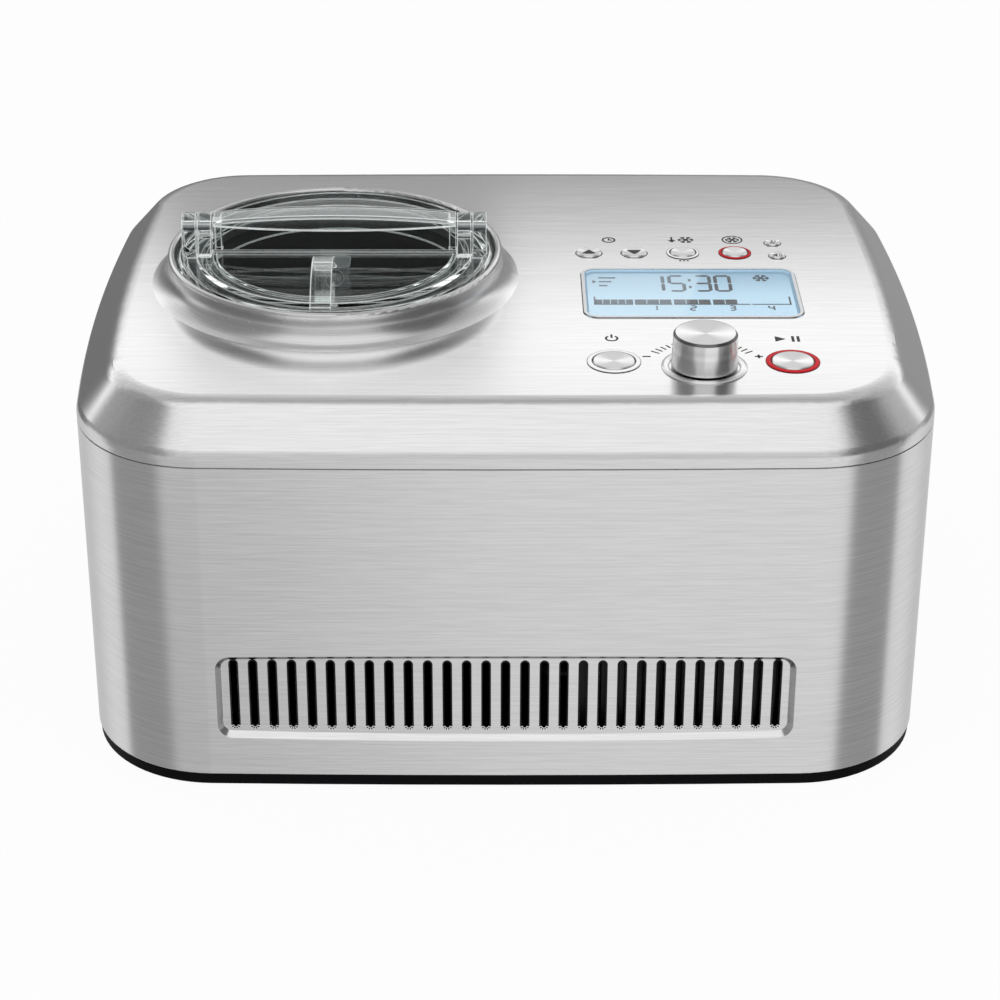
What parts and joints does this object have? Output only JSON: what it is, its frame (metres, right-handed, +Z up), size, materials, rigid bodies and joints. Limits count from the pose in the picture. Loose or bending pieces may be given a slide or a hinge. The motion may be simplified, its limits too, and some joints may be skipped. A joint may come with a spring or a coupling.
{
  "type": "ice cream maker",
  "caption": "Countertop compressor ice cream maker: brushed steel case, lift-out bowl with clear flap lid, dasher and gear drive, control panel with display, dial and buttons.",
  "frame": {"origin": "centre of the casing's footprint, on the surface that the feet stand on", "axes": "+X to the right as the user faces the front, +Y from front to back, +Z up"},
  "size_m": [0.388, 0.303, 0.2187],
  "materials": {
    "black_plastic": "fine texture",
    "rubber": "matte",
    "brushed_steel": "brushed along the width",
    "spun_metal": "spun, satin",
    "dark_plastic": "fine texture",
    "display_glass": "polished",
    "display": "backlit",
    "board": "solder mask",
    "steel": "plain",
    "aluminium": "satin",
    "copper": "drawn tube",
    "foam": "rough foam",
    "gear_plastic": "moulded",
    "pot_paint": "gloss black enamel",
    "anodised": "anodised satin",
    "white_ring": "glossy translucent",
    "red_ring": "glossy translucent",
    "dasher_plastic": "moulded",
    "clear_plastic": "polished clear moulding"
  },
  "bodies": {
    "housing": {"base_tray": "black_plastic", "rubber_feet": "rubber", "body_wrap": "brushed_steel", "rear_grille": "black_plastic", "cord_gland": "black_plastic", "top_cover": "brushed_steel", "dial_ring": "spun_metal", "encoder": "dark_plastic", "display_bezel": "spun_metal", "display_window": "display_glass", "display_module": "display", "panel_bracket": "black_plastic", "control_board": "board", "tact_switches": "dark_plastic", "screws": "steel", "evaporator_tub": "aluminium", "tub_seal": "rubber", "evaporator_coil": "copper", "foam_jacket": "foam", "shaft_bush": "gear_plastic", "gearbox_base": "steel", "gearbox_cover": "black_plastic", "drive_motor": "steel", "compressor": "pot_paint", "compressor_plate": "steel", "compressor_grommets": "rubber", "terminal_cover": "black_plastic", "condenser": "anodised", "fan_shroud": "black_plastic", "fan_motor": "dark_plastic", "filter_drier": "copper", "suction_pipe": "copper", "discharge_pipe": "copper", "liquid_line": "copper", "power_board": "board", "power_parts": "dark_plastic", "power_ring": "white_ring", "start_ring": "red_ring", "precool_ring": "white_ring", "keep_cold_ring": "red_ring"},
    "bowl": {"ice_bowl": "anodised"},
    "dasher": {"dasher": "dasher_plastic"},
    "lid": {"lid_body": "clear_plastic", "flap_pins": "steel"},
    "flap": {"lid_flap": "clear_plastic"},
    "drive": {"drive_shaft": "steel", "output_gear": "gear_plastic"},
    "idler": {"idler_gear": "gear_plastic"},
    "pinion": {"motor_pinion": "steel"},
    "fan": {"fan_blade": "dark_plastic"},
    "dial": {"dial_knob": "spun_metal", "dial_shaft": "steel"},
    "power": {"power_button": "spun_metal"},
    "start": {"start_button": "spun_metal"},
    "precool": {"precool_button": "spun_metal"},
    "keep_cold": {"keep_cold_button": "spun_metal"},
    "timer_up": {"timer_up_button": "spun_metal"},
    "timer_down": {"timer_down_button": "spun_metal"},
    "units": {"units_button": "spun_metal"},
    "sound": {"sound_button": "spun_metal"}
  },
  "joints": [
    {"name": "bowl_lift", "type": "slide", "parent": "housing", "child": "bowl", "axis": [0, 0, 1], "range_m": [0, 0.14]},
    {"name": "lid_lift", "type": "slide", "parent": "bowl", "child": "lid", "axis": [0, 0, 1], "range_m": [0, 0.1]},
    {"name": "flap_hinge", "type": "hinge", "parent": "lid", "child": "flap", "pos_m": [-0.0795, 0, 0.2117], "axis": [-1, 0, 0], "range_deg": [0, 95]},
    {"name": "shaft_spin", "type": "hinge", "parent": "housing", "child": "drive", "pos_m": [-0.0795, 0, 0.05], "axis": [0, 0, 1], "continuous": true},
    {"name": "dasher_spin", "type": "hinge", "parent": "bowl", "child": "dasher", "pos_m": [-0.0795, 0, 0.1], "axis": [0, 0, 1], "continuous": true},
    {"name": "idler_spin", "type": "hinge", "parent": "housing", "child": "idler", "pos_m": [-0.042, 0, 0.05], "axis": [0, 0, 1], "continuous": true},
    {"name": "motor_spin", "type": "hinge", "parent": "housing", "child": "pinion", "pos_m": [-0.027, -0.02598, 0.045], "axis": [0, 0, 1], "continuous": true},
    {"name": "fan_spin", "type": "hinge", "parent": "housing", "child": "fan", "pos_m": [0.09, -0.1, 0.0685], "axis": [0, 1, 0], "continuous": true},
    {"name": "dial_turn", "type": "hinge", "parent": "housing", "child": "dial", "pos_m": [0.087, -0.1013, 0.19], "axis": [0, 0, 1], "continuous": true},
    {"name": "power_press", "type": "slide", "parent": "housing", "child": "power", "axis": [0, 0, -1], "range_m": [0, 0.0008], "stiffness_N_per_m": 400, "springref_m": -0.002},
    {"name": "start_press", "type": "slide", "parent": "housing", "child": "start", "axis": [0, 0, -1], "range_m": [0, 0.0008], "stiffness_N_per_m": 400, "springref_m": -0.002},
    {"name": "precool_press", "type": "slide", "parent": "housing", "child": "precool", "axis": [0, 0, -1], "range_m": [0, 0.0008], "stiffness_N_per_m": 400, "springref_m": -0.002},
    {"name": "keep_cold_press", "type": "slide", "parent": "housing", "child": "keep_cold", "axis": [0, 0, -1], "range_m": [0, 0.0008], "stiffness_N_per_m": 400, "springref_m": -0.002},
    {"name": "timer_up_press", "type": "slide", "parent": "housing", "child": "timer_up", "axis": [0, 0, -1], "range_m": [0, 0.0008], "stiffness_N_per_m": 400, "springref_m": -0.002},
    {"name": "timer_down_press", "type": "slide", "parent": "housing", "child": "timer_down", "axis": [0, 0, -1], "range_m": [0, 0.0008], "stiffness_N_per_m": 400, "springref_m": -0.002},
    {"name": "units_press", "type": "slide", "parent": "housing", "child": "units", "axis": [0, 0, -1], "range_m": [0, 0.0008], "stiffness_N_per_m": 400, "springref_m": -0.002},
    {"name": "sound_press", "type": "slide", "parent": "housing", "child": "sound", "axis": [0, 0, -1], "range_m": [0, 0.0008], "stiffness_N_per_m": 400, "springref_m": -0.002}
  ],
  "couplings": [
    {"joint": "dasher_spin", "follows": "shaft_spin", "ratio": 1},
    {"joint": "idler_spin", "follows": "shaft_spin", "ratio": -4},
    {"joint": "motor_spin", "follows": "shaft_spin", "ratio": 16}
  ]
}
